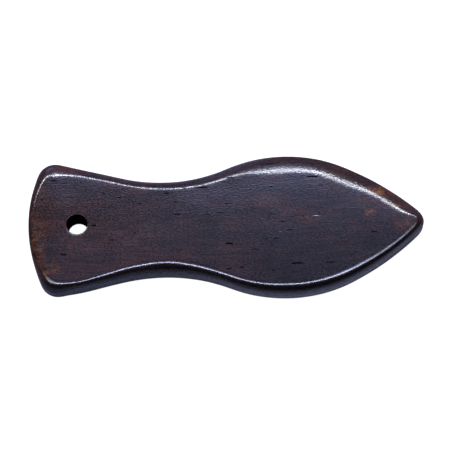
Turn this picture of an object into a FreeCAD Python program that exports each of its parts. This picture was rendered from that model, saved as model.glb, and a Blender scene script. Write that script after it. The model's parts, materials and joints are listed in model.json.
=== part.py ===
import FreeCAD, Part
import math
import os

import Sketcher
from FreeCAD import Vector

# Wood edge slicker: a flat hand tool for burnishing leather edges, made from one piece of hardwood.
#
# The piece lies flat, with its length along X. A flared grip with a hanging hole is at -X, a waist for
# the fingers is in the middle, and a leaf-shaped rubbing blade runs to a blunt tip at +X. Every outside
# edge is rounded over, top and bottom alike. The origin is the centre of the piece on its lower face.
#
# All sizes are millimetres and degrees, and live in the spreadsheet.

PARTS_FOLDER = "parts"

# The driving dimensions: alias, value, meaning. Stations are measured from the grip end.
DIMENSIONS = [
    ("overall_length", 127.0, "grip end to tip"),
    ("thickness", 9.5, "board thickness"),
    ("waist_station", 43.1, "narrowest place of the waist"),
    ("far_waist_half_width", 15.3, "centre line to edge at the waist, +Y side"),
    ("near_waist_half_width", 15.8, "centre line to edge at the waist, -Y side"),
    ("belly_station", 82.7, "widest place of the blade"),
    ("belly_half_width", 23.7, "centre line to edge at the belly"),
    ("belly_radius", 46.2, "full curve of the belly, in plan"),
    ("ogive_radius", 90.0, "long flat curve from the belly to the tip, in plan"),
    ("tip_radius", 4.5, "blunt point, in plan"),
    ("tip_offset", 0.5, "tip's sideways distance from the centre line"),
    ("far_flank_angle", 14.2, "flare of the grip, +Y side"),
    ("near_flank_angle", 12.2, "flare of the grip, -Y side"),
    ("corner_radius", 5.7, "corners of the grip, in plan"),
    ("end_radius", 50.0, "bulge of the grip end, in plan"),
    ("end_skew", 1.7, "sideways distance of the end curve's centre"),
    ("edge_radius", 3.4, "rounding of every outside edge"),
    ("hole_station", 15.7, "hanging hole from the grip end"),
    ("hole_offset", 0.6, "hanging hole's sideways distance from the centre line"),
    ("hole_diameter", 6.6, "hanging hole, a loose fit for a 1/4 in peg"),
    ("rim_radius", 0.4, "rounding of the hanging hole's rims"),
]

# The two long sides of the outline: the sign of their Y, and their name in the spreadsheet
FAR, NEAR = 1, -1
SIDES = {FAR: "far", NEAR: "near"}

# Sketcher's names for the points of a curve
START, END, CENTRE = 1, 2, 3
ORIGIN = (-1, 1)


def make_sheet(doc):
    """Fills in the spreadsheet that drives the model, and gives the same values as a dictionary."""
    sheet = doc.addObject("Spreadsheet::Sheet", "Dims")
    for row, (alias, value, meaning) in enumerate(DIMENSIONS, start=1):
        sheet.set(f"A{row}", meaning)
        sheet.set(f"B{row}", str(value))
        sheet.setAlias(f"B{row}", alias)
    doc.recompute()
    return {alias: value for alias, value, _ in DIMENSIONS}


def origin_plane(body, role):
    """One of the body's own origin planes, such as XY_Plane."""
    return next(f for f in body.Origin.OriginFeatures if f.Role == role)


def new_sketch(body, name):
    """An empty sketch on the body's XY plane, which is the lower face of the board."""
    sketch = body.newObject("Sketcher::SketchObject", name)
    sketch.AttachmentSupport = [(origin_plane(body, "XY_Plane"), "")]
    sketch.MapMode = "FlatFace"
    return sketch


def direction(start, end):
    """Angle of the line from start to end, in radians."""
    return math.atan2(end.y - start.y, end.x - start.x)


def side_start(d, side):
    """Where the curves of one side of the outline begin, before the sketch's constraints hold them.

    Worked out as a +Y side, with the tip and end offsets seen from that side; mirror() turns it over
    for the -Y one. Each arc is centre, radius, first angle, last angle, counter-clockwise.
    """
    label = SIDES[side]
    half_length = d["overall_length"] / 2
    flank = math.radians(d[f"{label}_flank_angle"])
    waist_x = d["waist_station"] - half_length
    belly_x = d["belly_station"] - half_length
    rise = d["belly_half_width"] - d[f"{label}_waist_half_width"]
    radii = ((belly_x - waist_x) ** 2 + rise**2) / (2 * rise)  # waist and belly arcs just touch
    waist_radius = radii - d["belly_radius"]
    waist = Vector(waist_x, d[f"{label}_waist_half_width"] + waist_radius, 0)
    belly = Vector(belly_x, d["belly_half_width"] - d["belly_radius"], 0)
    tip = Vector(half_length - d["tip_radius"], side * d["tip_offset"], 0)

    # The belly and tip arcs touch the ogive from inside, so its centre lies on two circles.
    to_belly = d["ogive_radius"] - d["belly_radius"]
    to_tip = d["ogive_radius"] - d["tip_radius"]
    span = tip - belly
    along = (to_belly**2 - to_tip**2 + span.Length**2) / (2 * span.Length)
    across = math.sqrt(to_belly**2 - along**2)
    unit = Vector(span).normalize()
    ogive = belly + unit * along + Vector(unit.y, -unit.x, 0) * across

    # The flank touches the waist arc, and the corner arc touches the flank and the end curve.
    end = Vector(d["end_radius"] - half_length, side * d["end_skew"], 0)
    to_end = d["end_radius"] - d["corner_radius"]
    inward = Vector(-math.sin(flank), -math.cos(flank), 0)
    tailward = Vector(-math.cos(flank), math.sin(flank), 0)
    flank_foot = waist + inward * waist_radius
    from_end = flank_foot + inward * d["corner_radius"] - end
    lead = from_end.dot(tailward)
    run = math.sqrt(lead**2 - from_end.Length**2 + to_end**2) - lead
    corner = end + from_end + tailward * run
    flank_head = corner - inward * d["corner_radius"]

    outward = math.pi / 2 - flank
    return {
        "flank": (flank_head, flank_foot),
        "corner": (corner, d["corner_radius"], outward, direction(end, corner)),
        "waist": (waist, waist_radius, outward - math.pi, direction(waist, belly)),
        "belly": (belly, d["belly_radius"], direction(ogive, belly), direction(belly, waist)),
        "ogive": (ogive, d["ogive_radius"], direction(ogive, tip), direction(ogive, belly)),
    }


def mirror(shape):
    """The same curve on the other side of the centre line."""
    if len(shape) == 2:
        return tuple(Vector(p.x, -p.y, 0) for p in shape)
    centre, radius, first, last = shape
    return Vector(centre.x, -centre.y, 0), radius, -last, -first


def add_arc(sketch, centre, radius, first, last):
    circle = Part.Circle(centre, Vector(0, 0, 1), radius)
    return sketch.addGeometry(Part.ArcOfCircle(circle, first, last), False)


def add_side(sketch, d, side):
    """One side of the outline, from the grip's corner to the ogive: the curves' numbers and shapes."""
    shapes = side_start(d, side)
    if side == NEAR:
        shapes = {name: mirror(shape) for name, shape in shapes.items()}
    curves = {}
    for name, shape in shapes.items():
        if name == "flank":
            curves[name] = sketch.addGeometry(Part.LineSegment(*shape), False)
        else:
            curves[name] = add_arc(sketch, *shape)
    return curves, shapes


def touch(sketch, first, first_point, second, second_point):
    """Joins two curves end to end with no corner."""
    join = Sketcher.Constraint("Tangent", first, first_point, second, second_point)
    sketch.addConstraint(join)


def drive(sketch, name, kind, references, value, formula):
    """A dimension of the sketch, bound to the spreadsheet."""
    index = sketch.addConstraint(Sketcher.Constraint(kind, *references, value))
    sketch.renameConstraint(index, name)
    sketch.setExpression(f"Constraints.{name}", formula)


def place(sketch, name, curve, axis, formula, value):
    """Holds a curve's centre along one axis. The formula gives its place, of either sign."""
    point = (curve, CENTRE)
    if value < 0:
        drive(sketch, name, f"Distance{axis}", (*point, *ORIGIN), -value, f"-({formula})")
    else:
        drive(sketch, name, f"Distance{axis}", (*ORIGIN, *point), value, formula)


def drive_side(sketch, d, side, curves, shapes):
    """The dimensions of one side of the outline. The waist's radius follows, as it touches the belly."""
    label = SIDES[side]
    waist_width = f"Dims.{label}_waist_half_width"
    rise = f"(Dims.belly_half_width - {waist_width})"
    run = "(Dims.belly_station - Dims.waist_station)"
    waist_radius = f"(({run} ^ 2 + {rise} ^ 2) / (2 * {rise}) - Dims.belly_radius)"
    heights = {
        "waist": f"{side} * ({waist_width} + {waist_radius})",
        "belly": f"{side} * (Dims.belly_half_width - Dims.belly_radius)",
    }
    for name in ("corner", "belly", "ogive"):
        radius = f"{name}_radius"
        drive(sketch, f"{label}_{radius}", "Radius", (curves[name],), d[radius], f"Dims.{radius}")
    for name, height in heights.items():
        centre = shapes[name][0]
        station = f"Dims.{name}_station - Dims.overall_length / 2"
        place(sketch, f"{label}_{name}_x", curves[name], "X", station, centre.x)
        place(sketch, f"{label}_{name}_y", curves[name], "Y", height, centre.y)
    angle = math.radians(-side * d[f"{label}_flank_angle"])
    formula = f"{-side} * Dims.{label}_flank_angle * 1 deg"
    drive(sketch, f"{label}_flank", "Angle", (curves["flank"],), angle, formula)


def outline_sketch(body, d):
    """The plan outline: the end curve, a chain of curves along each side and the tip."""
    sketch = new_sketch(body, "Outline")
    half_length = d["overall_length"] / 2
    far, far_shapes = add_side(sketch, d, FAR)
    near, near_shapes = add_side(sketch, d, NEAR)
    end_centre = Vector(d["end_radius"] - half_length, d["end_skew"], 0)
    tip_centre = Vector(half_length - d["tip_radius"], d["tip_offset"], 0)
    end_angles = [direction(end_centre, shapes["corner"][0]) for shapes in (far_shapes, near_shapes)]
    end = add_arc(sketch, end_centre, d["end_radius"], end_angles[0], end_angles[1] + 2 * math.pi)
    tip_angles = [direction(shapes["ogive"][0], tip_centre) for shapes in (near_shapes, far_shapes)]
    tip = add_arc(sketch, tip_centre, d["tip_radius"], *tip_angles)

    for curves, first, last in ((far, START, END), (near, END, START)):
        touch(sketch, end, first, curves["corner"], last)
        touch(sketch, curves["corner"], first, curves["flank"], START)
        touch(sketch, curves["flank"], END, curves["waist"], first)
        touch(sketch, curves["waist"], last, curves["belly"], last)
        touch(sketch, curves["belly"], first, curves["ogive"], last)
        touch(sketch, curves["ogive"], first, tip, last)

    drive(sketch, "end_radius", "Radius", (end,), d["end_radius"], "Dims.end_radius")
    place(sketch, "end_x", end, "X", "Dims.end_radius - Dims.overall_length / 2", end_centre.x)
    place(sketch, "end_y", end, "Y", "Dims.end_skew", end_centre.y)
    drive(sketch, "tip_radius", "Radius", (tip,), d["tip_radius"], "Dims.tip_radius")
    place(sketch, "tip_x", tip, "X", "Dims.overall_length / 2 - Dims.tip_radius", tip_centre.x)
    place(sketch, "tip_y", tip, "Y", "Dims.tip_offset", tip_centre.y)

    for side, curves, shapes in ((FAR, far, far_shapes), (NEAR, near, near_shapes)):
        drive_side(sketch, d, side, curves, shapes)
    return sketch


def hole_sketch(body, d):
    """The hanging hole's circle."""
    sketch = new_sketch(body, "HoleCircle")
    hole_x = d["hole_station"] - d["overall_length"] / 2
    centre = Vector(hole_x, d["hole_offset"], 0)
    circle = sketch.addGeometry(Part.Circle(centre, Vector(0, 0, 1), d["hole_diameter"] / 2), False)
    drive(sketch, "diameter", "Diameter", (circle,), d["hole_diameter"], "Dims.hole_diameter")
    place(sketch, "station", circle, "X", "Dims.hole_station - Dims.overall_length / 2", hole_x)
    place(sketch, "offset", circle, "Y", "Dims.hole_offset", d["hole_offset"])
    return sketch


def flat_faces(feature):
    """Names of the feature's faces that lie flat, which are the two broad ones."""
    return [
        f"Face{number}"
        for number, face in enumerate(feature.Shape.Faces, start=1)
        if isinstance(face.Surface, Part.Plane) and abs(face.normalAt(0, 0).z) > 0.999
    ]


def rim_edges(feature, d):
    """Names of the hanging hole's two rims: the full circles of its diameter."""
    return [
        f"Edge{number}"
        for number, edge in enumerate(feature.Shape.Edges, start=1)
        if isinstance(edge.Curve, Part.Circle)
        and edge.Closed
        and math.isclose(edge.Curve.Radius, d["hole_diameter"] / 2, abs_tol=1e-6)
    ]


def build_body(doc, d):
    """The whole tool, as the one piece of wood that it is."""
    body = doc.addObject("PartDesign::Body", "SlickerBody")
    body.Label = "slicker_body"

    outline = outline_sketch(body, d)
    doc.recompute()
    board = body.newObject("PartDesign::Pad", "Board")
    board.Profile = outline
    board.setExpression("Length", "Dims.thickness")
    doc.recompute()

    rounded = body.newObject("PartDesign::Fillet", "EdgeRounding")
    rounded.Base = (board, flat_faces(board))
    rounded.setExpression("Radius", "Dims.edge_radius")
    doc.recompute()

    hole = body.newObject("PartDesign::Pocket", "HangingHole")
    hole.Profile = hole_sketch(body, d)
    hole.Type = "Length"
    hole.Reversed = True  # the sketch is on the lower face, so the cut goes up through the board
    hole.setExpression("Length", "Dims.thickness")
    doc.recompute()
    drilled = rounded.Shape.Volume - hole.Shape.Volume
    expected = math.pi * (d["hole_diameter"] / 2) ** 2 * d["thickness"]
    if not math.isclose(drilled, expected, rel_tol=1e-3):
        raise RuntimeError(f"the hanging hole removed {drilled:.2f} mm3, not {expected:.2f}")

    rims = body.newObject("PartDesign::Fillet", "RimRounding")
    rims.Base = (hole, rim_edges(hole, d))
    rims.setExpression("Radius", "Dims.rim_radius")
    body.Tip = rims
    doc.recompute()
    return body


def check_document(doc):
    """Stops if any object of the document failed to build, or a sketch still has loose ends."""
    for item in doc.Objects:
        if {"Invalid", "Error"} & set(item.State):
            raise RuntimeError(f"{item.Label} did not build: {item.State}")
        if item.isDerivedFrom("Sketcher::SketchObject") and item.solve() != 0:
            raise RuntimeError(f"{item.Label} does not solve")


def export(parts):
    """Writes each sub-part as a STEP file named after its Label."""
    os.makedirs(PARTS_FOLDER, exist_ok=True)
    for part in parts:
        shape = part.Shape
        if shape.isNull() or not shape.isValid() or len(shape.Solids) != 1:
            raise RuntimeError(f"{part.Label} is not one valid solid")
        shape.exportStep(os.path.join(PARTS_FOLDER, f"{part.Label}.step"))
        box = shape.optimalBoundingBox(False)
        print(
            f"{part.Label}: {box.XLength:.2f} x {box.YLength:.2f} x {box.ZLength:.2f} mm, "
            f"volume {shape.Volume:.0f} mm3"
        )


def main():
    doc = FreeCAD.newDocument("WoodEdgeSlicker")
    d = make_sheet(doc)
    body = build_body(doc, d)
    check_document(doc)
    export([body])


main()
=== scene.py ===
import json
import math
import random

import bpy
import numpy as np
from mathutils import Matrix, Vector, noise
from mathutils.geometry import delaunay_2d_cdt
from mathutils.kdtree import KDTree


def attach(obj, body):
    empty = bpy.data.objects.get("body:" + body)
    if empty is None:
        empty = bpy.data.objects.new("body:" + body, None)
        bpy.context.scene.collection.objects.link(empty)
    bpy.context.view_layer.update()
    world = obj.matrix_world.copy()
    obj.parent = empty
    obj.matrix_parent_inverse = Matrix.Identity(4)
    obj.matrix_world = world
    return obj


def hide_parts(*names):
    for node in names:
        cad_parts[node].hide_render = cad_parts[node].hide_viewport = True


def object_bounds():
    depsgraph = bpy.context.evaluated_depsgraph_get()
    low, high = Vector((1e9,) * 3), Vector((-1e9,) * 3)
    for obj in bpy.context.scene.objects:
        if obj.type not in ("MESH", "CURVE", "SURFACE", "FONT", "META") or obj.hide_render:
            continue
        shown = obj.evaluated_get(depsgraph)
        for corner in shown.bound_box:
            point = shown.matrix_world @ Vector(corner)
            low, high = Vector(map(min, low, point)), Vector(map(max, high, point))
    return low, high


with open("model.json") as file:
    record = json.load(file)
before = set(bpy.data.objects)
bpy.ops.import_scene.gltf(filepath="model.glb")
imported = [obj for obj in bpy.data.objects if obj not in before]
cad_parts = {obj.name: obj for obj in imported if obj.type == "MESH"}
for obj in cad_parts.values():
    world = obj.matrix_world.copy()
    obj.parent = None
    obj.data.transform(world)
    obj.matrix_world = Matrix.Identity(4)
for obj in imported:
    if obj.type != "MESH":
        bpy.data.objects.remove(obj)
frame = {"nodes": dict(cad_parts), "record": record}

# Wood edge slicker, as it looks: one board of dark stained hardwood under a thin gloss lacquer.
#
# The plan outline, the thickness and the hanging hole come from the CAD node. This script gives the
# board its softened edges, its slightly uneven hand-sanded surface, its open pores and its finish.
# Lengths are in millimetres until a mesh is made. +X runs from the grip to the tip and +Z is up.

MM = 0.001
NODE = "slicker_body"

cad_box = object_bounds()


# ---------------------------------------------------------------------------------------------------
# The board's shape, read from the frame
# ---------------------------------------------------------------------------------------------------

FAIRING_MM = 1.4  # how far along the outline small unevenness is evened out
TURN_FAIRING_MM = 3.0  # the same for the outline's normals, so that a wide rounding doesn't fold


def cad_points():
    """Every vertex of the CAD board, in millimetres."""
    mesh = frame["nodes"][NODE].data
    return np.array([v.co for v in mesh.vertices], float).reshape(-1, 3) / MM


def around(points, centre):
    """The points in counter-clockwise order about a centre, each once."""
    angles = np.arctan2(points[:, 1] - centre[1], points[:, 0] - centre[0])
    ordered = points[np.argsort(angles)]
    step = np.linalg.norm(np.roll(ordered, -1, 0) - ordered, axis=1)
    return ordered[step > 1e-3]


def resample(loop, count):
    """A closed polyline's points, evenly spaced along it, as complex numbers x + iy."""
    closed = np.vstack([loop, loop[:1]])
    length = np.concatenate([[0.0], np.cumsum(np.linalg.norm(np.diff(closed, axis=0), axis=1))])
    at = np.linspace(0.0, length[-1], count, endpoint=False)
    return np.interp(at, length, closed[:, 0]) + 1j * np.interp(at, length, closed[:, 1])


def even_out(values, spacing, width):
    """A closed run of values, smoothed over a width without drawing its bends inward."""
    wave = 2 * math.pi * np.fft.fftfreq(len(values), spacing)
    gauss = np.exp(-((wave * width) ** 2) / 2)
    smooth = np.fft.ifft(np.fft.fft(values) * gauss * (2 - gauss))
    return smooth if np.iscomplexobj(values) else smooth.real


def perimeter(curve):
    return np.abs(np.roll(curve, -1) - curve).sum()


def plan_outline(points, count):
    """The board's plan outline and its smoothed outward normals, from the CAD board's widest section."""
    wall_height = points[points[:, 0].argmin(), 2]
    wall = points[np.abs(points[:, 2] - wall_height) < 1e-3][:, :2]
    fine = resample(around(wall, (0.0, 0.0)), 8 * count)
    fair = even_out(fine, perimeter(fine) / len(fine), FAIRING_MM)
    curve = resample(np.column_stack([fair.real, fair.imag]), count)
    tangent = np.roll(curve, -1) - np.roll(curve, 1)
    normal = even_out(-1j * tangent / np.abs(tangent), perimeter(curve) / count, TURN_FAIRING_MM)
    return curve, normal / np.abs(normal)


def hanging_hole(record):
    """The hole's centre, its wall's radius and how far its rims reach up from the wall."""
    mount = next(m for m in record["mounts"] if m["name"] == "hang_hole")
    centre = complex(mount["pos_m"][0], mount["pos_m"][1]) / MM
    return centre, mount["dims"]["r_mm"], (thickness - mount["dims"]["length_mm"]) / 2


OUTLINE_POINTS = 600

cad = cad_points()
low, high = cad.min(0), cad.max(0)
length, thickness = high[0] - low[0], high[2] - low[2]
outline, outward = plan_outline(cad, OUTLINE_POINTS)
spacing = perimeter(outline) / OUTLINE_POINTS
hole_centre, hole_radius, hole_rim = hanging_hole(frame["record"])


# ---------------------------------------------------------------------------------------------------
# The rounded edge
# ---------------------------------------------------------------------------------------------------

# How far the edge's rounding reaches in over the broad face: station (share of the length from the grip
# end) and reach. The far side (+Y) of the blade is rounded much more broadly than the near one.
FAR_REACH = (
    (0.0, 1.7),
    (0.02, 3.3),
    (0.045, 5.8),
    (0.06, 6.2),
    (0.09, 4.8),
    (0.13, 3.7),
    (0.22, 3.3),
    (0.34, 3.5),
    (0.5, 4.4),
    (0.54, 5.5),
    (0.6, 7.6),
    (0.66, 7.4),
    (0.75, 6.6),
    (0.8, 7.7),
    (0.9, 6.1),
    (0.94, 5.9),
    (0.97, 5.3),
    (1.0, 3.0),
)
NEAR_REACH = (
    (0.0, 1.8),
    (0.06, 4.3),
    (0.09, 3.2),
    (0.13, 1.9),
    (0.25, 3.5),
    (0.36, 4.6),
    (0.48, 3.1),
    (0.66, 4.0),
    (0.80, 3.6),
    (0.96, 2.5),
    (1.0, 2.6),
)
SIDE_BLEND_MM = 6.0  # half of the width over which the near rounding turns into the far one
REACH_FAIRING_MM = 3.0
DROP_SHARE = 0.31  # the rounding reaches down by at most this share of the thickness
NEAR_TOP_DROP_SHARE = 0.49  # the same for the upper side of the near edge, which is rounder
FAR_BLUNTNESS = 1.25  # 1 makes the rounding a quarter of an ellipse, and 2 a plain bevel

# How much lower a broad face is at the outline than in its middle, by station. The blade is domed most.
CROWN = ((0.0, 0.06), (0.35, 0.10), (0.62, 0.42), (0.85, 0.36), (1.0, 0.20))
CROWN_REACH_MM = 16.0  # how far in from the outline a face is level

ARC_RINGS = 12
WALL_RINGS = 2
HOLE_SEGMENTS = 72
RIM_RINGS = 5
BORE_RINGS = 6


def smoothstep(value):
    value = np.clip(value, 0.0, 1.0)
    return value * value * (3 - 2 * value)


def edge_reach():
    """At each outline point: how far the rounding reaches in over the face, how far it reaches down and
    up the wall, and how blunt it is."""
    station = (outline.real - low[0]) / length
    near = np.interp(station, *zip(*NEAR_REACH))
    far = np.interp(station, *zip(*FAR_REACH))
    side = smoothstep(0.5 + outline.imag / (2 * SIDE_BLEND_MM))
    reach = even_out(near + (far - near) * side, spacing, REACH_FAIRING_MM)
    top_share = NEAR_TOP_DROP_SHARE + (DROP_SHARE - NEAR_TOP_DROP_SHARE) * side
    top, bottom = (np.minimum(reach, share * thickness) for share in (top_share, DROP_SHARE))
    return reach, top, bottom, 1 + (FAR_BLUNTNESS - 1) * side


reach, top_drop, bottom_drop, bluntness = edge_reach()


def crown_at(stations, inset):
    """How far a broad face lies below its middle, at a distance in from the outline."""
    return np.interp(stations, *zip(*CROWN)) * np.clip(1 - inset / CROWN_REACH_MM, 0, 1) ** 2


def edge_ring(turn, top):
    """One ring of the rounded edge. turn runs from 0, on the wall, to 90 degrees, on the broad face."""
    inset = reach * (1 - math.cos(turn) ** bluntness)
    plan = outline - outward * inset
    drop = top_drop if top else bottom_drop
    depth = drop * (1 - math.sin(turn) ** bluntness) + crown_at((plan.real - low[0]) / length, inset)
    height = thickness - depth if top else depth
    return np.column_stack([plan.real, plan.imag, height])


def rim_ring(turn, top):
    """One ring of the hanging hole's rounded rim, with turn as in edge_ring."""
    angles = np.linspace(0, -2 * math.pi, HOLE_SEGMENTS, endpoint=False)
    radius = hole_radius + hole_rim * (1 - math.cos(turn))
    depth = hole_rim * (1 - math.sin(turn))
    plan = hole_centre + radius * np.exp(1j * angles)
    height = np.full(HOLE_SEGMENTS, thickness - depth if top else depth)
    return np.column_stack([plan.real, plan.imag, height])


# ---------------------------------------------------------------------------------------------------
# Pores: short open grooves along the grain
# ---------------------------------------------------------------------------------------------------

PORE_SEED = 11
RANDOM_PORES = 18
PORE_GRID_ALONG = 0.22
PORE_GRID_ACROSS = 0.07
PORE_MARGIN = 0.25

# The most open pores of the upper face: place of the middle (x, y), length, width and depth.
UPPER_PORES = (
    (-55.4, 15.6, 1.8, 0.30, 0.05),
    (-42.5, 0.0, 1.8, 0.34, 0.06),
    (-52.0, -9.7, 2.0, 0.36, 0.06),
    (-27.7, 7.1, 1.7, 0.24, 0.04),
    (-16.1, 7.5, 1.6, 0.20, 0.03),
    (0.7, 6.5, 2.2, 0.20, 0.03),
    (0.8, -7.0, 2.5, 0.42, 0.07),
    (0.6, -15.4, 1.3, 0.32, 0.05),
    (4.7, -15.0, 1.3, 0.28, 0.05),
    (30.5, 12.3, 1.8, 0.26, 0.04),
    (28.0, 15.2, 3.8, 0.36, 0.07),
    (22.3, -14.0, 4.2, 0.36, 0.06),
    (32.8, -13.9, 3.6, 0.24, 0.04),
)

# Shallow dents that the lacquer has filled smoothly, so that they catch the light.
UPPER_DENTS = (
    (28.9, 2.1, 3.2, 0.36, 0.045),
    (-53.0, -7.5, 0.6, 0.44, 0.05),
    (17.2, -3.1, 0.7, 0.40, 0.04),
    (-35.4, 5.2, 0.6, 0.36, 0.04),
    (-26.1, -4.2, 0.6, 0.36, 0.04),
)


class Pore:
    """One groove, tapered to nothing at its ends. A bare one is dark inside, a dent is lacquered."""

    def __init__(self, x, y, long, wide, deep, slant=0.0, bare=True):
        self.middle = complex(x, y)
        self.long, self.wide, self.deep = long, wide, deep
        self.turn = np.exp(-1j * slant)
        self.bare = bare

    def local(self, plan):
        """Places along and across the groove."""
        turned = (plan - self.middle) * self.turn
        return turned.real, turned.imag

    def fill(self, plan):
        """How deep the groove is at each place, as a share of its full depth."""
        along, across = self.local(plan)
        taper = np.clip(1 - np.abs(2 * along / self.long) ** 2.2, 0, 1)
        return taper * np.exp(-((2 * across / self.wide) ** 2))

    def covers(self, plan):
        """True where the fine points of this groove stand in for the face's ordinary ones."""
        along, across = self.local(plan)
        half_long, half_wide = self.long / 2 + 2 * PORE_MARGIN, self.wide + 2 * PORE_MARGIN
        return (np.abs(along) < half_long) & (np.abs(across) < half_wide)

    def fine_points(self):
        """A close grid over the groove."""
        half_long, half_wide = self.long / 2 + PORE_MARGIN, self.wide + PORE_MARGIN
        along = np.linspace(-half_long, half_long, 1 + round(2 * half_long / PORE_GRID_ALONG))
        across = np.linspace(-half_wide, half_wide, 1 + round(2 * half_wide / PORE_GRID_ACROSS))
        grid = along[:, None] + 1j * across[None, :]
        grid[1::2] += 0.5j * PORE_GRID_ACROSS
        return (grid / self.turn + self.middle).ravel()


def random_pores(rng, count, clear_of):
    """Small pores scattered over a face, clear of its edge, of the hole and of other pores."""
    pores = list(clear_of)
    while len(pores) < len(clear_of) + count:
        place = complex(rng.uniform(low[0], high[0]), rng.uniform(low[1], high[1]))
        long, wide = rng.uniform(0.7, 2.4), rng.uniform(0.15, 0.26)
        deep, slant = wide * rng.uniform(0.1, 0.16), rng.gauss(0, 0.03)
        ends = np.array([place - long / 2 - 1, place, place + long / 2 + 1])
        if not inside(ends, outline - outward * (reach + 1.2)).all():
            continue
        if abs(place - hole_centre) < 2 * hole_radius + long / 2:
            continue
        if any(abs(place - p.middle) < (long + p.long) / 2 + 1.5 for p in pores):
            continue
        pores.append(Pore(place.real, place.imag, long, wide, deep, slant))
    return pores


def inside(plan, loop):
    """True for each plan point inside a closed loop."""
    start, end = loop[:, None], np.roll(loop, -1)[:, None]
    crosses = (start.imag > plan.imag) != (end.imag > plan.imag)
    rise = np.where(crosses, end.imag - start.imag, 1.0)
    at = start.real + (plan.imag - start.imag) * (end.real - start.real) / rise
    return (crosses & (plan.real < at)).sum(0) % 2 == 1


# ---------------------------------------------------------------------------------------------------
# The broad faces
# ---------------------------------------------------------------------------------------------------

FACE_GRID = 0.72
CROWN_PASSES = 30


def face_points(border, rim, pores):
    """The plan points of a broad face between the edge's last ring and the hole's rim."""
    rows = np.arange(low[1], high[1], FACE_GRID * math.sqrt(3) / 2)
    columns = np.arange(low[0], high[0], FACE_GRID)
    grid = columns[None, :] + 1j * rows[:, None]
    grid[1::2] += FACE_GRID / 2
    grid = grid.ravel()
    grid = grid[inside(grid, border - outward * FACE_GRID * 0.7)]
    grid = grid[np.abs(grid - hole_centre) > np.abs(rim[0] - hole_centre) + 0.6 * FACE_GRID]
    for pore in pores:
        grid = grid[~pore.covers(grid)]
    return np.concatenate([grid] + [pore.fine_points() for pore in pores])


def triangulate(border, rim, free):
    """Triangles over a face. Its points are the border, the rim and then the free ones, in order."""
    plan = np.concatenate([border, rim, free])
    loops = [range(len(border)), range(len(border), len(border) + len(rim))]
    edges = [(loop[i - 1], loop[i]) for loop in loops for i in range(len(loop))]
    points = [Vector((p.real, p.imag)) for p in plan]
    verts, _, faces, origin, _, _ = delaunay_2d_cdt(points, edges, [], 1, 1e-7)
    if len(verts) != len(plan):
        raise RuntimeError("the face's points don't match its triangles")
    back = [ids[0] for ids in origin]
    triangles = np.array([[back[i] for i in f] for f in faces])
    centre = plan[triangles].mean(1)
    return plan, triangles[np.abs(centre - hole_centre) > np.abs(rim[0] - hole_centre) * 0.999]


def crown(plan, triangles, fixed):
    """How far each point of a face lies below its middle. The first points, the fixed ones, keep theirs."""
    tree = KDTree(len(outline))
    for i, p in enumerate(outline):
        tree.insert((p.real, p.imag, 0), i)
    tree.balance()
    inset = np.array([tree.find((p.real, p.imag, 0))[2] for p in plan])
    inset[:fixed] = reach
    fall = crown_at((plan.real - low[0]) / length, inset)
    pairs = np.vstack([triangles[:, [0, 1]], triangles[:, [1, 2]], triangles[:, [2, 0]]])
    links = np.bincount(pairs[:, 0], minlength=len(plan)) + np.bincount(pairs[:, 1], minlength=len(plan))
    edge_fall = fall[:fixed].copy()
    for _ in range(CROWN_PASSES):
        total = np.bincount(pairs[:, 0], fall[pairs[:, 1]], len(plan))
        total += np.bincount(pairs[:, 1], fall[pairs[:, 0]], len(plan))
        fall = (fall + total / np.maximum(links, 1)) / 2
        fall[:fixed] = edge_fall
    return fall


# ---------------------------------------------------------------------------------------------------
# The whole board as one closed mesh
# ---------------------------------------------------------------------------------------------------

# This layer marks the bare pores, and the hole's bore, whose near-black unlacquered wall is painted shade.
PORE_AND_BORE_SHADE_LAYER = "bare_pore_and_bore_shade"
HAND_WAVES = ((11.0, 0.05), (4.2, 0.014))  # wavelength and height of the sanded surface's unevenness


class Builder:
    """Collects the vertices and faces of one mesh. bare holds how far each vertex is in a bare pore; it is
    1 on the hole's bore, whose near-black is painted shade.
    """

    def __init__(self):
        self.points, self.bare, self.faces, self.count = [], [], [], 0

    def add(self, points, bare=None):
        """Adds points and returns their numbers."""
        self.points.append(points)
        self.bare.append(np.zeros(len(points)) if bare is None else bare)
        numbers = np.arange(self.count, self.count + len(points))
        self.count += len(points)
        return numbers

    def sweep(self, sections, painted_shade_from=None):
        """Adds a closed band of quads through rings of equal length. Returns its first and last ring.
        Past a given number of rings in from both ends, the rings are bare and near-black, which is painted
        shade in the hole's bore."""
        rings = []
        for i, ring in enumerate(sections):
            depth = min(i, len(sections) - 1 - i)
            bare = painted_shade_from is not None and depth >= painted_shade_from
            rings.append(self.add(ring, np.full(len(ring), float(bare))))
        for lower, upper in zip(rings, rings[1:]):
            quads = np.column_stack([lower, np.roll(lower, -1), np.roll(upper, -1), upper])
            self.faces.extend(quads.tolist())
        return rings[0], rings[-1]


def full_section(ring_at, arc_rings, wall_rings):
    """All rings from the lower face's border, out and up the wall, to the upper face's border."""
    turns = np.radians(np.linspace(0, 90, arc_rings + 1))
    foot, head = ring_at(0, False), ring_at(0, True)
    wall = [foot + (head - foot) * share for share in np.linspace(0, 1, wall_rings + 2)[1:-1]]
    return [ring_at(t, False) for t in turns[::-1]] + wall + [ring_at(t, True) for t in turns]


def flat(ring):
    """A ring's plan points as complex numbers."""
    return ring[:, 0] + 1j * ring[:, 1]


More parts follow.
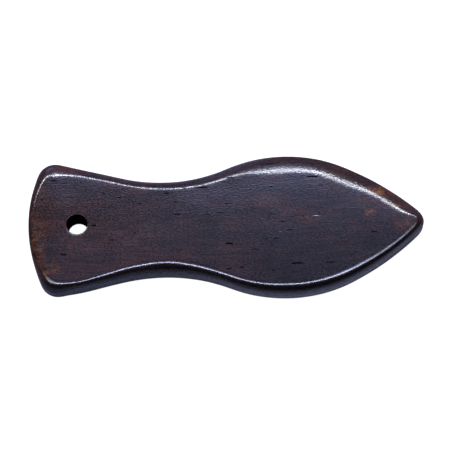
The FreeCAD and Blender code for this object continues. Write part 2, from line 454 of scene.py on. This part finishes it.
def add_face(board, pores, border, rim, top):
    """Closes the upper or lower side between the edge's last ring and the hole's rim."""
    border_plan, rim_plan = flat(edge_ring(math.pi / 2, top)), flat(rim_ring(math.pi / 2, top))
    free = face_points(border_plan, rim_plan, pores)
    plan, triangles = triangulate(border_plan, rim_plan, free)
    fixed = len(border_plan)
    fall = crown(plan, triangles, fixed)[fixed + len(rim_plan):]
    fall += sum(pore.deep * pore.fill(free) for pore in pores)
    bare = sum(pore.fill(free) for pore in pores if pore.bare)
    height = thickness - fall if top else fall
    numbers = board.add(np.column_stack([free.real, free.imag, height]), bare)
    numbers = np.concatenate([border, rim, numbers])
    board.faces.extend(numbers[triangles if top else triangles[:, ::-1]].tolist())


def build_board():
    """The board's vertices in millimetres, how far each is in a bare pore, and the faces."""
    rng = random.Random(PORE_SEED)
    known = [Pore(*p) for p in UPPER_PORES] + [Pore(*p, bare=False) for p in UPPER_DENTS]
    upper = random_pores(rng, RANDOM_PORES, known)
    lower = random_pores(rng, RANDOM_PORES + len(UPPER_PORES), [])
    board = Builder()
    edge_low, edge_high = board.sweep(full_section(edge_ring, ARC_RINGS, WALL_RINGS))
    # The hole's bore is made bare and near-black: painted shade.
    rim_low, rim_high = board.sweep(full_section(rim_ring, RIM_RINGS, BORE_RINGS), painted_shade_from=RIM_RINGS)
    add_face(board, lower, edge_low, rim_low, False)
    add_face(board, upper, edge_high, rim_high, True)
    return np.vstack(board.points), np.concatenate(board.bare), board.faces


def sand_by_hand(mesh):
    """Takes a little off every vertex along its normal, unevenly, as sanding by hand does."""
    taken = [sum(rise * noise.noise(v.co / MM / wave) for wave, rise in HAND_WAVES) for v in mesh.vertices]
    normals = [v.normal.copy() for v in mesh.vertices]
    for vertex, normal, depth in zip(mesh.vertices, normals, taken):
        vertex.co -= normal * depth * MM


def make_piece():
    points, bare, faces = build_board()
    mesh = bpy.data.meshes.new("slicker_wood")
    mesh.from_pydata((points * MM).tolist(), [], faces)
    mesh.shade_smooth()
    mesh.attributes.new(PORE_AND_BORE_SHADE_LAYER, "FLOAT", "POINT").data.foreach_set("value", bare)
    sand_by_hand(mesh)
    made = bpy.data.objects.new("slicker_wood", mesh)
    bpy.context.scene.collection.objects.link(made)
    return made


piece = make_piece()


# ---------------------------------------------------------------------------------------------------
# Shader graphs
# ---------------------------------------------------------------------------------------------------


class Graph:
    """Short names for the shader nodes used here. Each call adds a node and returns its output."""

    def __init__(self, tree):
        self.tree = tree
        tree.nodes.clear()

    def add(self, kind, inputs, output=0, **settings):
        node = self.tree.nodes.new(kind)
        for name, value in settings.items():
            setattr(node, name, value)
        for name, value in inputs.items():
            self.put(node.inputs[name], value)
        return node.outputs[output]

    def put(self, socket, value):
        """Links a node's output to an input, or sets the input to a plain value."""
        if isinstance(value, bpy.types.NodeSocket):
            self.tree.links.new(value, socket)
        else:
            socket.default_value = value

    def math(self, operation, first, second=0.0):
        return self.add("ShaderNodeMath", {0: first, 1: second}, operation=operation)

    def vector(self, operation, first, second=(0, 0, 0), output=0):
        return self.add("ShaderNodeVectorMath", {0: first, 1: second}, output, operation=operation)

    def split(self, vector):
        """The X, Y and Z of a vector."""
        node = self.tree.nodes.new("ShaderNodeSeparateXYZ")
        self.put(node.inputs[0], vector)
        return node.outputs[:]

    def scaled(self, vector, share):
        return self.add("ShaderNodeVectorMath", {0: vector, "Scale": share}, operation="SCALE")

    def span(self, value, low_end, high_end, first=0.0, last=1.0):
        """Smoothly from first to last as value goes from low_end to high_end."""
        ends = {"From Min": low_end, "From Max": high_end, "To Min": first, "To Max": last}
        return self.add("ShaderNodeMapRange", {"Value": value, **ends}, interpolation_type="SMOOTHSTEP")

    def blend(self, share, first, second):
        """From the first colour to the second."""
        node = self.tree.nodes.new("ShaderNodeMix")
        node.data_type = "RGBA"
        factor, start, end = [i for i in node.inputs if i.enabled]
        for socket, value in ((factor, share), (start, first), (end, second)):
            self.put(socket, value)
        return next(o for o in node.outputs if o.enabled)

    def noise(self, place, size, detail=2.0, rough=0.5):
        """Noise around one half, whose features are about size millimetres along X, Y and Z."""
        inputs = {"Vector": self.vector("DIVIDE", place, size), "Scale": 1.0}
        return self.add("ShaderNodeTexNoise", {**inputs, "Detail": detail, "Roughness": rough}, "Fac")

    def surface(self, shader):
        kind = "ShaderNodeOutputWorld" if isinstance(self.tree.id_data, bpy.types.World) else (
            "ShaderNodeOutputMaterial")
        self.put(self.tree.nodes.new(kind).inputs["Surface"], shader)


def rgba(red, green, blue):
    return (red, green, blue, 1.0)


# ---------------------------------------------------------------------------------------------------
# The finish: stained wood under lacquer, with painted shade on the near walls and in the hole's bore
# ---------------------------------------------------------------------------------------------------

DARK_STAIN = rgba(0.0100, 0.0055, 0.0058)
MID_STAIN = rgba(0.0172, 0.0080, 0.0081)
WARM_STAIN = rgba(0.0360, 0.0125, 0.0092)
WORN_WOOD = rgba(0.19, 0.062, 0.014)
# Near-black in the open pores, and in the hole's bore, where it is painted shade.
PORE_AND_BORE_SHADE_COLOUR = rgba(0.003, 0.002, 0.002)

# Where the stain is rubbed thin: middle (x, y), reach along X and Y, strength.
WORN_PATCHES = (
    (-60.5, -6.0, 2.4, 7.0, 0.30),
    (-59.0, 6.0, 3.4, 8.0, 0.06),
    (-56.0, -14.5, 3.0, 2.8, 0.24),
    (-29.0, -6.5, 9.0, 5.0, 0.07),
    (-47.0, -7.0, 13.0, 7.0, 0.05),
    (-38.0, 0.0, 9.0, 3.0, 0.04),
    (14.5, 6.8, 6.0, 2.4, 0.10),
    (45.8, 2.6, 1.7, 1.2, 0.55),
    (47.0, 6.2, 4.0, 2.0, 0.16),
    (49.8, 10.4, 4.2, 1.9, 0.55),
    (56.0, 5.0, 4.0, 2.4, 0.20),
    (57.0, -2.0, 3.2, 2.2, 0.22),
)

# Where handling has dulled the lacquer, in the same form.
DULL_PATCHES = (
    (-14.0, 15.0, 22.0, 5.0, 0.25),
    (8.0, 17.0, 12.0, 4.0, 0.25),
    (38.0, 15.0, 8.0, 5.0, 0.35),
    (50.0, 8.0, 6.0, 4.0, 0.25),
    (-60.0, 1.0, 6.0, 14.0, 0.6),
    (-42.0, 4.0, 26.0, 8.0, 0.58),
)

# Where the colour is darker, in the same form.
DARKER_PATCHES = (
    (-12.0, 15.0, 24.0, 5.0, 0.45),
)

# Open pores where the edge is rounded, in the same form. They are drawn in the material only.
EDGE_PORES = (
    (14.1, 20.4, 1.5, 0.25, 1.5),
    (1.6, 15.6, 1.2, 0.28, 1.5),
    (-7.4, 12.4, 2.0, 0.3, 1.6),
    (-13.2, 12.2, 0.6, 0.2, 1.2),
    (-19.0, 10.6, 1.0, 0.26, 1.5),
)


def patches(graph, place, listed):
    """The sum of soft elliptical patches over the plan."""
    total = 0.0
    for x, y, along, across, strength in listed:
        offset = graph.vector("SUBTRACT", place, (x, y, 0.0))
        distance = graph.vector("LENGTH", graph.vector("DIVIDE", offset, (along, across, 40.0)), output=1)
        total = graph.math("ADD", total, graph.span(distance, 1.6, 0.0, 0.0, strength))
    return total


def small_pores(graph, place):
    """Fine closed pores, as short dark ticks along the grain: 1 in a tick, 0 elsewhere."""
    cells = graph.vector("DIVIDE", place, (3.2, 1.0, 1.0))
    cell = graph.tree.nodes.new("ShaderNodeTexVoronoi")
    graph.put(cell.inputs["Vector"], cells)
    cell.inputs["Scale"].default_value = 1.0
    lot = graph.add("ShaderNodeSeparateColor", {0: cell.outputs["Color"]})
    tick = graph.span(cell.outputs["Distance"], 0.2, 0.07)
    return graph.math("MULTIPLY", tick, graph.span(lot, 0.6, 0.65))


# Sizes of the finish's clouds and marks along X, Y and Z, in millimetres.
CLOUD = (16.0, 7.0, 7.0)
WARMTH = (12.0, 6.0, 6.0)
WARMTH_SHIFT = (40.0, 13.0, 5.0)  # keeps the warm streaks from following the clouds
FIBRE = (9.0, 0.4, 0.4)
SPECKLE = (0.7, 0.45, 0.45)
BREAKS = (1.6, 0.9, 0.9)
HAZE = (5.0, 2.5, 2.5)

# Stations along X over which the stain turns warmer towards the grip end and towards the tip.
GRIP_END, TIP_END = (-20.0, -58.0), (36.0, 60.0)
END_WARMTH = 0.07

# The blade's near half is darker. The walls that face the near side are darker too: painted shade, for
# the less light they get. The spans are places across and along, and the normal's Y.
DARK_HALF_ACROSS, DARK_HALF_ALONG, DARK_HALF_SHADE = (2.0, -12.0), (-4.0, 14.0), 0.6
WALL_FACING, WALL_PAINTED_SHADE = (-0.15, -0.5), 0.35

# The lacquer's orange peel in millimetres: from the near side to the far one, and what a steep surface
# adds to it.
PEEL_ACROSS, PEEL_RANGE = (-12.0, 14.0), (0.018, 0.041)
PEEL_STEEP, PEEL_ON_WALL = (0.7, 0.3), 0.03
FIBRE_RELIEF = 0.003
TICK_RELIEF = 0.006

COAT_ROUGHNESS = 0.12
DULL_ROUGHNESS = 0.06  # what a fully dulled place adds to it
SPECULAR = 0.06
BARE_FROM = 0.16  # how far into a groove the wood looks fully bare


def normal_part(graph, axis):
    """One part of the surface's own normal: 1 is Y and 2 is Z."""
    return graph.split(graph.add("ShaderNodeTexCoord", {}, "Normal"))[axis]


def stained_wood(graph, place, fibre, speckle):
    """The stain's colour, with clouds and warm streaks, worn thin in places and darker in others, with
    painted shade on the walls that face the near side.
    """
    along, across, _ = graph.split(place)
    cloud = graph.noise(place, CLOUD, 3.0, 0.6)
    warmth = graph.noise(graph.vector("ADD", place, WARMTH_SHIFT), WARMTH, 3.0, 0.6)
    broken = graph.noise(place, BREAKS, 4.0, 0.7)
    ends = graph.math("ADD", graph.span(along, *GRIP_END), graph.span(along, *TIP_END, 0.0, 0.6))
    warmth = graph.math("ADD", warmth, graph.math("MULTIPLY", ends, END_WARMTH))
    stain = graph.blend(graph.span(cloud, 0.3, 0.62), DARK_STAIN, MID_STAIN)
    stain = graph.blend(graph.span(warmth, 0.50, 0.80, 0.0, 0.7), stain, WARM_STAIN)
    worn = patches(graph, place, WORN_PATCHES)
    worn = graph.math("MULTIPLY", worn, graph.span(broken, 0.42, 0.62, 0.1, 1.3))
    stain = graph.blend(worn, stain, WORN_WOOD)

    streaks, grains = graph.span(fibre, 0.3, 0.7, 0.65, 1.35), graph.span(speckle, 0.3, 0.7, 0.4, 1.6)
    shade = graph.math("MULTIPLY", streaks, grains)
    # The blade's near half is darker.
    deep = graph.math("MULTIPLY", graph.span(across, *DARK_HALF_ACROSS), graph.span(along, *DARK_HALF_ALONG))
    shade = graph.math("MULTIPLY", shade, graph.span(deep, 0.0, 1.0, 1.0, DARK_HALF_SHADE))
    # Painted shade: the walls that face the near side are darkened.
    facing = normal_part(graph, 1)
    shade = graph.math("MULTIPLY", shade, graph.span(facing, *WALL_FACING, 1.0, WALL_PAINTED_SHADE))
    shade = graph.math("MULTIPLY", shade, graph.math("SUBTRACT", 1.0, patches(graph, place, DARKER_PATCHES)))
    return graph.scaled(stain, shade)


def bare_wood_and_bore_shade(graph, place, ticks):
    """Where the wood is bare: 1 in the open grooves and in the hole's bore, whose near-black is painted
    shade, less in the fine ticks.
    """
    groove = graph.add("ShaderNodeAttribute", {}, "Fac", attribute_name=PORE_AND_BORE_SHADE_LAYER)
    edge_pores = graph.math("MINIMUM", patches(graph, place, EDGE_PORES), 1.0)
    bare = graph.math("MAXIMUM", graph.span(groove, 0.0, BARE_FROM), edge_pores)
    return graph.math("MAXIMUM", graph.math("MULTIPLY", ticks, 0.7), bare)


def lacquer_bump(graph, place, fibre, ticks):
    """The surface's fine relief: lacquer that didn't quite level, fibres and small pores."""
    _, across, _ = graph.split(place)
    peel = graph.noise(place, SPECKLE, 1.0)
    on_wall = graph.span(normal_part(graph, 2), *PEEL_STEEP, 0.0, PEEL_ON_WALL)
    swell = graph.math("ADD", graph.span(across, *PEEL_ACROSS, *PEEL_RANGE), on_wall)
    relief = graph.math("MULTIPLY", peel, swell)
    relief = graph.math("ADD", relief, graph.math("MULTIPLY", fibre, FIBRE_RELIEF))
    relief = graph.math("SUBTRACT", relief, graph.math("MULTIPLY", ticks, TICK_RELIEF))
    return graph.add("ShaderNodeBump", {"Height": relief, "Distance": MM, "Strength": 1.0})


def make_wood():
    material = bpy.data.materials.new("lacquered_dark_wood")
    material.use_nodes = True
    graph = Graph(material.node_tree)
    object_place = graph.add("ShaderNodeTexCoord", {}, "Object")
    place = graph.vector("DIVIDE", object_place, (MM, MM, MM))
    fibre = graph.noise(place, FIBRE, 2.0)
    speckle = graph.noise(place, SPECKLE, 3.0, 0.6)
    haze = graph.noise(place, HAZE, 3.0)
    ticks = small_pores(graph, place)
    # pore covers the bare pores and the hole's bore, whose near-black is painted shade.
    pore = bare_wood_and_bore_shade(graph, place, ticks)
    closed = graph.math("SUBTRACT", 1.0, pore)
    bump = lacquer_bump(graph, place, fibre, ticks)
    dull = patches(graph, place, DULL_PATCHES)
    gloss = graph.math("SUBTRACT", graph.span(speckle, 0.3, 0.7, 0.55, 1.4), dull)
    inputs = {
        "Base Color": graph.blend(pore, stained_wood(graph, place, fibre, speckle), PORE_AND_BORE_SHADE_COLOUR),
        "Roughness": graph.math("MAXIMUM", graph.span(haze, 0.3, 0.7, 0.26, 0.36), pore),
        "Specular IOR Level": graph.math("MULTIPLY", closed, SPECULAR),
        "Normal": bump,
        "Coat Weight": graph.math("MULTIPLY", closed, gloss),
        "Coat Roughness": graph.math("ADD", graph.math("MULTIPLY", dull, DULL_ROUGHNESS), COAT_ROUGHNESS),
        "Coat Normal": bump,
    }
    graph.surface(graph.add("ShaderNodeBsdfPrincipled", inputs))
    return material


piece.data.materials.append(make_wood())
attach(piece, "root")
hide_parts(NODE)


# ---------------------------------------------------------------------------------------------------
# Stage: floor, light and camera
# ---------------------------------------------------------------------------------------------------

FLOOR_RADIUS = 8.0
FLOOR_GAP = 0.00005
FLOOR_GLOW = 0.96
WHITE = rgba(1.0, 1.0, 1.0)
SHEET_DIFFUSE = rgba(0.2, 0.2, 0.2)  # what the camera sees on top of the glow
SHEET_BOUNCE = rgba(0.6, 0.62, 0.66)  # what lights the tool from below

# What the lacquer mirrors of the sheet. These colours are chosen for the look, and the camera never sees
# them: bright in front of the blade, dimmer in front of the grip, dim behind the tool with a bluish part
# behind the waist, and dark close to the tool.
FLOOR_FRONT_BLADE = rgba(0.68, 0.72, 1.15)
FLOOR_FRONT_GRIP = rgba(0.42, 0.46, 0.76)
FLOOR_BACK = rgba(0.17, 0.145, 0.22)
FLOOR_BACK_WAIST = rgba(0.38, 0.43, 0.80)

# The places, in metres, between which one of those turns into the next.
GRIP_TO_BLADE = (-0.05, 0.02)
WAIST_START, WAIST_END = (-0.055, -0.005), (0.016, 0.004)
FRONT_TO_BACK = (-0.02, 0.01)
CONTACT_REACH = 0.030
CONTACT_FADE = (0.58, 0.93)  # shares of open sky between which the sheet near the tool turns from dark
FLOOR_SKEW = 0.43  # the sheet dims towards the front beyond a line that runs askew by this slope
FLOOR_DIM, FLOOR_DIM_SHARE = (-0.052, -0.038), 0.6


def from_angles(tilt, azimuth):
    """Unit direction leaning by tilt degrees from straight up, towards azimuth (0 is the far side, +Y)."""
    t, a = math.radians(tilt), math.radians(azimuth)
    return Vector((math.sin(t) * math.sin(a), math.sin(t) * math.cos(a), math.cos(t)))


def make_floor():
    """A white sheet. The camera sees it evenly white, with only a hint of the tool's shadow."""
    mesh = bpy.data.meshes.new("floor")
    angles = np.linspace(0, 2 * math.pi, 96, endpoint=False)
    ring = [(FLOOR_RADIUS * math.cos(a), FLOOR_RADIUS * math.sin(a), -FLOOR_GAP) for a in angles]
    mesh.from_pydata(ring, [], [list(range(len(ring)))])
    floor = bpy.data.objects.new("floor", mesh)
    bpy.context.scene.collection.objects.link(floor)
    mesh.materials.append(floor_material())


def floor_material():
    material = bpy.data.materials.new("white_sheet")
    material.use_nodes = True
    graph = Graph(material.node_tree)
    along, across, _ = graph.split(graph.add("ShaderNodeTexCoord", {}, "Object"))
    path = graph.tree.nodes.new("ShaderNodeLightPath")
    seen = graph.add("ShaderNodeAddShader", {
        0: graph.add("ShaderNodeBsdfDiffuse", {"Color": SHEET_DIFFUSE}),
        1: graph.add("ShaderNodeEmission", {"Color": WHITE, "Strength": FLOOR_GLOW}),
    })
    front = graph.blend(graph.span(along, *GRIP_TO_BLADE), FLOOR_FRONT_GRIP, FLOOR_FRONT_BLADE)
    behind_waist = graph.math("MULTIPLY", graph.span(along, *WAIST_START), graph.span(along, *WAIST_END))
    back = graph.blend(behind_waist, FLOOR_BACK, FLOOR_BACK_WAIST)
    colour = graph.blend(graph.span(across, *FRONT_TO_BACK), front, back)
    open_sky = graph.add("ShaderNodeAmbientOcclusion", {"Distance": CONTACT_REACH}, "AO", samples=4)
    skewed = graph.math("ADD", across, graph.math("MULTIPLY", along, FLOOR_SKEW))
    near = graph.span(skewed, *FLOOR_DIM, FLOOR_DIM_SHARE, 1.0)
    strength = graph.math("MULTIPLY", near, graph.span(open_sky, *CONTACT_FADE))
    mirrored = graph.add("ShaderNodeEmission", {"Color": colour, "Strength": strength})
    lit = graph.add("ShaderNodeBsdfDiffuse", {"Color": SHEET_BOUNCE})
    other = graph.add("ShaderNodeMixShader", {0: path.outputs["Is Glossy Ray"], 1: lit, 2: mirrored})
    shown = graph.add("ShaderNodeMixShader", {0: path.outputs["Is Camera Ray"], 1: other, 2: seen})
    graph.surface(shown)
    return material


# Broad soft light from the room: tilt and azimuth of its middle, angles from it where the light starts to
# fade and where it ends, and colour.
ROOM_GLOWS = (
    (26, 44, 3, 33, (0.30, 0.385, 0.72)),
    (40, 0, 3, 19.5, (2.3, 2.8, 5.0)),
    (24, 117, 2, 16, (5.2, 5.6, 7.6)),
    (28, 246, 3, 18, (5.6, 5.9, 7.2)),
    (85, 0, 20, 60, (0.20, 0.16, 0.28)),
    (78, -17, 2, 15, (0.40, 0.50, 1.0)),
)
ROOM_BASE = (0.03, 0.03, 0.04)
ROOM_FRONT = (0.24, 0.26, 0.42)  # a pale band low in front
BAND_UP, BAND_ACROSS = (0.42, 0.0), (0.1, -0.3)  # where that band fades in, by direction


def make_room():
    """The camera sees plain white around the floor. Everything else sees a dim room with soft glows."""
    world = bpy.data.worlds.new("studio")
    world.use_nodes = True
    graph = Graph(world.node_tree)
    way = graph.add("ShaderNodeTexCoord", {}, "Generated")
    light = ROOM_BASE
    for tilt, azimuth, start, end, colour in ROOM_GLOWS:
        towards = graph.vector("DOT_PRODUCT", way, from_angles(tilt, azimuth), output=1)
        share = graph.span(towards, math.cos(math.radians(end)), math.cos(math.radians(start)))
        light = graph.vector("ADD", light, graph.scaled(colour, share))
    _, across, up = graph.split(way)
    band = graph.math("MULTIPLY", graph.span(up, *BAND_UP), graph.span(across, *BAND_ACROSS))
    light = graph.vector("ADD", light, graph.scaled(ROOM_FRONT, band))
    path = graph.tree.nodes.new("ShaderNodeLightPath")
    room = graph.add("ShaderNodeBackground", {"Color": light})
    plain = graph.add("ShaderNodeBackground", {"Color": WHITE})
    graph.surface(graph.add("ShaderNodeMixShader", {0: path.outputs["Is Camera Ray"], 1: room, 2: plain}))
    bpy.context.scene.world = world


SIDE_FADE, END_FADE = 0.15, 0.5  # shares of a softbox's width and height over which it fades in


def softbox(name, tilt, azimuth, distance, width, height, radiance, colour, shape_only=False):
    """A rectangular light that faces the tool. One for the shape only shows in reflections."""
    data = bpy.data.lights.new(name, "AREA")
    data.shape = "RECTANGLE"
    data.size, data.size_y = width, height
    data.energy = radiance * math.pi * width * height
    data.color = colour
    data.use_nodes = True
    graph = Graph(data.node_tree)
    spot = graph.add("ShaderNodeNewGeometry", {}, "Parametric")
    from_side, from_end = (graph.math("PINGPONG", axis, 0.5) for axis in graph.split(spot)[:2])
    fades = graph.span(from_side, 0.0, SIDE_FADE), graph.span(from_end, 0.0, END_FADE)
    strength = graph.math("MULTIPLY", *fades)
    glow = graph.add("ShaderNodeEmission", {"Strength": strength})
    graph.put(graph.tree.nodes.new("ShaderNodeOutputLight").inputs["Surface"], glow)
    light = bpy.data.objects.new(name, data)
    place = from_angles(tilt, azimuth) * distance
    light.location = place
    light.rotation_mode = "QUATERNION"
    light.rotation_quaternion = (-place).to_track_quat("-Z", "Y")
    light.visible_camera = False
    light.visible_diffuse = not shape_only
    bpy.context.scene.collection.objects.link(light)


make_floor()
make_room()
softbox("key", 42, 0, 1.2, 1.7, 0.17, 46, (0.95, 0.96, 1.0))
softbox("corner", 53, -46, 1.2, 0.35, 0.22, 40, (0.80, 0.82, 1.0))
softbox("side", 67, -60, 1.2, 0.3, 0.08, 12, (0.72, 0.80, 1.0))
softbox("front", 20, 170, 1.0, 0.9, 0.16, 40, (0.62, 0.68, 1.0), shape_only=True)


CAMERA_ELEVATION = 70.5
CAMERA_ROLL = 1.15
CAMERA_DISTANCE = 0.7
CAMERA_AIM = (1.16, -0.68)  # how far right of and above the tool's middle the camera looks, in mm
LENS_MM, SENSOR_MM = 170.2, 36.0
CLIP_START, CLIP_END = 0.01, 50


def make_camera():
    data = bpy.data.cameras.new("camera")
    data.lens, data.sensor_width = LENS_MM, SENSOR_MM
    data.clip_start, data.clip_end = CLIP_START, CLIP_END
    camera = bpy.data.objects.new("camera", data)
    bpy.context.scene.collection.objects.link(camera)
    back = from_angles(90 - CAMERA_ELEVATION, 180)
    turn = back.to_track_quat("Z", "Y").to_matrix() @ Matrix.Rotation(math.radians(-CAMERA_ROLL), 3, "Z")
    middle = sum(cad_box, Vector()) / 2
    aim = middle + turn @ Vector((*CAMERA_AIM, 0)) * MM
    camera.matrix_world = Matrix.Translation(aim + back * CAMERA_DISTANCE) @ turn.to_4x4()
    bpy.context.scene.camera = camera


make_camera()
bpy.context.scene.view_settings.view_transform = "Standard"
